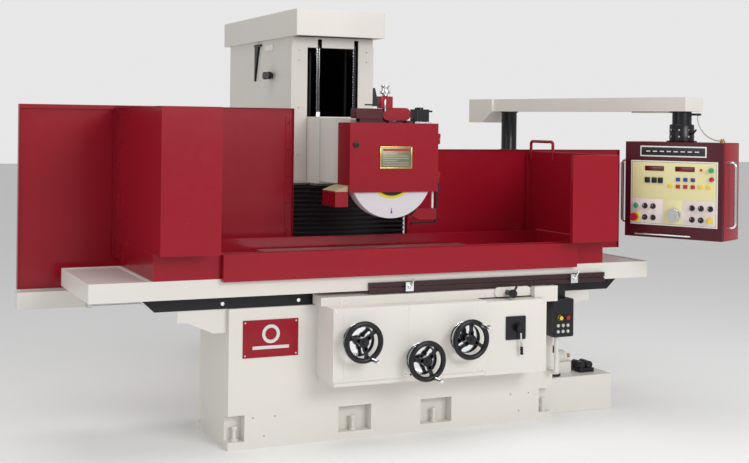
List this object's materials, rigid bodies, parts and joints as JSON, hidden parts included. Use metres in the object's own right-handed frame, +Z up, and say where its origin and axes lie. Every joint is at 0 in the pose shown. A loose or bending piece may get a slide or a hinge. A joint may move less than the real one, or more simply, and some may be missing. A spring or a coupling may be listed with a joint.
{
  "type": "surface grinder",
  "caption": "Column-type hydraulic surface grinder with a long sliding table, counterweighted wheel head, sheet guards and a control pendant on a boom.",
  "frame": {"origin": "on the floor, below the middle of the front edge of the bed", "axes": "+X along the table to the operator's right, +Y from the operator towards the column, +Z up"},
  "size_m": [3.687, 3.3234, 2.265],
  "materials": {
    "cream": "satin",
    "red": "glossy",
    "black": "satin",
    "steel": "brushed",
    "iron": "machined",
    "chrome": "polished",
    "rubber": "matt",
    "abrasive": "matt",
    "panel": "satin",
    "signal_red": "glossy",
    "signal_green": "glossy",
    "signal_yellow": "glossy",
    "dark_rail": "machined"
  },
  "bodies": {
    "frame": {"front_bed": "cream", "rear_bed": "cream", "way_bed": "cream", "way_brackets": "cream", "levelling_screws": "steel", "feed_box": "cream", "oil_gutter": "cream", "cover_screws": "chrome", "feed_dials": "chrome", "start_box": "black", "coolant_tank": "cream", "lube_unit": "cream", "table_cylinder": "iron", "guard_supports": "cream", "left_guard": "red", "left_wing": "red", "right_guard": "red", "right_wing": "red", "boom_post": "black", "coolant_nozzle": "chrome"},
    "table": {"table_trough": "cream", "work_table": "steel", "magnetic_chuck": "steel", "front_apron": "red", "table_boards": "red", "dog_rail": "dark_rail", "trip_dogs": "dark_rail", "piston_rod": "steel"},
    "column_unit": {"cross_slide": "cream", "column": "cream", "column_cap": "cream", "bellows": "rubber"},
    "head": {"head_carriage": "cream", "spindle_motor": "iron", "wheel_guard": "red", "splash_box": "red", "wheel_nozzle": "red", "dresser_base": "red", "valve_block": "black", "head_chains": "steel"},
    "door": {"guard_door": "red"},
    "dresser": {"dresser_slide": "red"},
    "dresser_knob": {"dresser_dial": "chrome"},
    "spindle_unit": {"spindle": "steel", "grinding_wheel": "abrasive"},
    "sprocket_shaft": {"chain_sprockets": "steel"},
    "weight": {"counterweight": "iron"},
    "side_knob": {"column_knob": "black"},
    "wheel_1": {"table_handwheel": "black"},
    "wheel_2": {"head_handwheel": "black"},
    "wheel_3": {"cross_handwheel": "black"},
    "main_switch": {"switch_lever": "black"},
    "reversing": {"reverse_lever": "black"},
    "boom": {"boom_arm": "cream"},
    "pendant": {"pendant_box": "red", "pendant_keys": "panel"},
    "dial": {"pulse_dial": "chrome"},
    "stop": {"stop_button": "signal_red"},
    "start": {"start_button": "signal_green"},
    "mode": {"mode_knob": "signal_yellow"}
  },
  "joints": [
    {"name": "table_travel", "type": "slide", "parent": "frame", "child": "table", "axis": [1, 0, 0], "range_m": [-0.6, 0.6]},
    {"name": "cross_travel", "type": "slide", "parent": "frame", "child": "column_unit", "axis": [0, 1, 0], "range_m": [-0.28, 0.36]},
    {"name": "head_travel", "type": "slide", "parent": "column_unit", "child": "head", "axis": [0, 0, 1], "range_m": [-0.13, 0.35], "deforming": ["bellows", "head_chains"]},
    {"name": "spindle_turn", "type": "hinge", "parent": "head", "child": "spindle_unit", "pos_m": [0.04, 0.4, 1.336], "axis": [0, 1, 0], "continuous": true},
    {"name": "guard_door_swing", "type": "hinge", "parent": "head", "child": "door", "pos_m": [0.317, 0.211, 1.421], "axis": [0, 0, 1], "range_deg": [0, 105]},
    {"name": "dresser_traverse", "type": "slide", "parent": "head", "child": "dresser", "axis": [0, 1, 0], "range_m": [-0.03, 0.04]},
    {"name": "dresser_feed", "type": "hinge", "parent": "dresser", "child": "dresser_knob", "pos_m": [0.018, 0.266, 1.761], "axis": [0, 0, 1], "continuous": true},
    {"name": "sprocket_turn", "type": "hinge", "parent": "column_unit", "child": "sprocket_shaft", "pos_m": [0.05, 1.1753, 2.065], "axis": [1, 0, 0], "range_deg": [-360, 360]},
    {"name": "counterweight_travel", "type": "slide", "parent": "column_unit", "child": "weight", "axis": [0, 0, 1], "range_m": [-0.35, 0.13]},
    {"name": "column_knob_turn", "type": "hinge", "parent": "column_unit", "child": "side_knob", "pos_m": [-0.21, 1.43, 1.888], "axis": [1, 0, 0], "range_deg": [-90, 90]},
    {"name": "table_wheel_turn", "type": "hinge", "parent": "frame", "child": "wheel_1", "pos_m": [-0.337, -0.292, 0.541], "axis": [0, 1, 0], "continuous": true},
    {"name": "head_wheel_turn", "type": "hinge", "parent": "frame", "child": "wheel_2", "pos_m": [0.008, -0.292, 0.426], "axis": [0, 1, 0], "continuous": true},
    {"name": "cross_wheel_turn", "type": "hinge", "parent": "frame", "child": "wheel_3", "pos_m": [0.254, -0.292, 0.518], "axis": [0, 1, 0], "continuous": true},
    {"name": "main_switch_turn", "type": "hinge", "parent": "frame", "child": "main_switch", "pos_m": [0.58, -0.214, 0.548], "axis": [0, 1, 0], "range_deg": [0, 90]},
    {"name": "reversing_lever_turn", "type": "hinge", "parent": "frame", "child": "reversing", "pos_m": [0.56, -0.15, 0.721], "axis": [0, 1, 0], "range_deg": [-60, 0]},
    {"name": "boom_swing", "type": "hinge", "parent": "frame", "child": "boom", "pos_m": [1.225, 1, 1.7], "axis": [0, 0, 1], "range_deg": [0, 50]},
    {"name": "pendant_turn", "type": "hinge", "parent": "boom", "child": "pendant", "pos_m": [1.54284, -0.30382, 1.7], "axis": [0, 0, 1], "range_deg": [-30, 30]},
    {"name": "pulse_dial_turn", "type": "hinge", "parent": "pendant", "child": "dial", "pos_m": [1.43547, -0.37688, 1.128], "axis": [0.8862, 0.4633, 0], "continuous": true},
    {"name": "stop_press", "type": "slide", "parent": "pendant", "child": "stop", "axis": [0.8862, 0.4633, 0], "range_m": [0, 0.008], "stiffness_N_per_m": 200, "springref_m": -0.002},
    {"name": "start_press", "type": "slide", "parent": "pendant", "child": "start", "axis": [0.8862, 0.4633, 0], "range_m": [0, 0.004], "stiffness_N_per_m": 200, "springref_m": -0.002},
    {"name": "mode_knob_turn", "type": "hinge", "parent": "pendant", "child": "mode", "pos_m": [1.53745, -0.55037, 1.108], "axis": [0.8862, 0.4633, 0], "range_deg": [-60, 60]}
  ],
  "couplings": [
    {"joint": "counterweight_travel", "follows": "head_travel", "ratio": -1},
    {"joint": "sprocket_turn", "follows": "head_travel", "rad_per_m": 17.241}
  ]
}
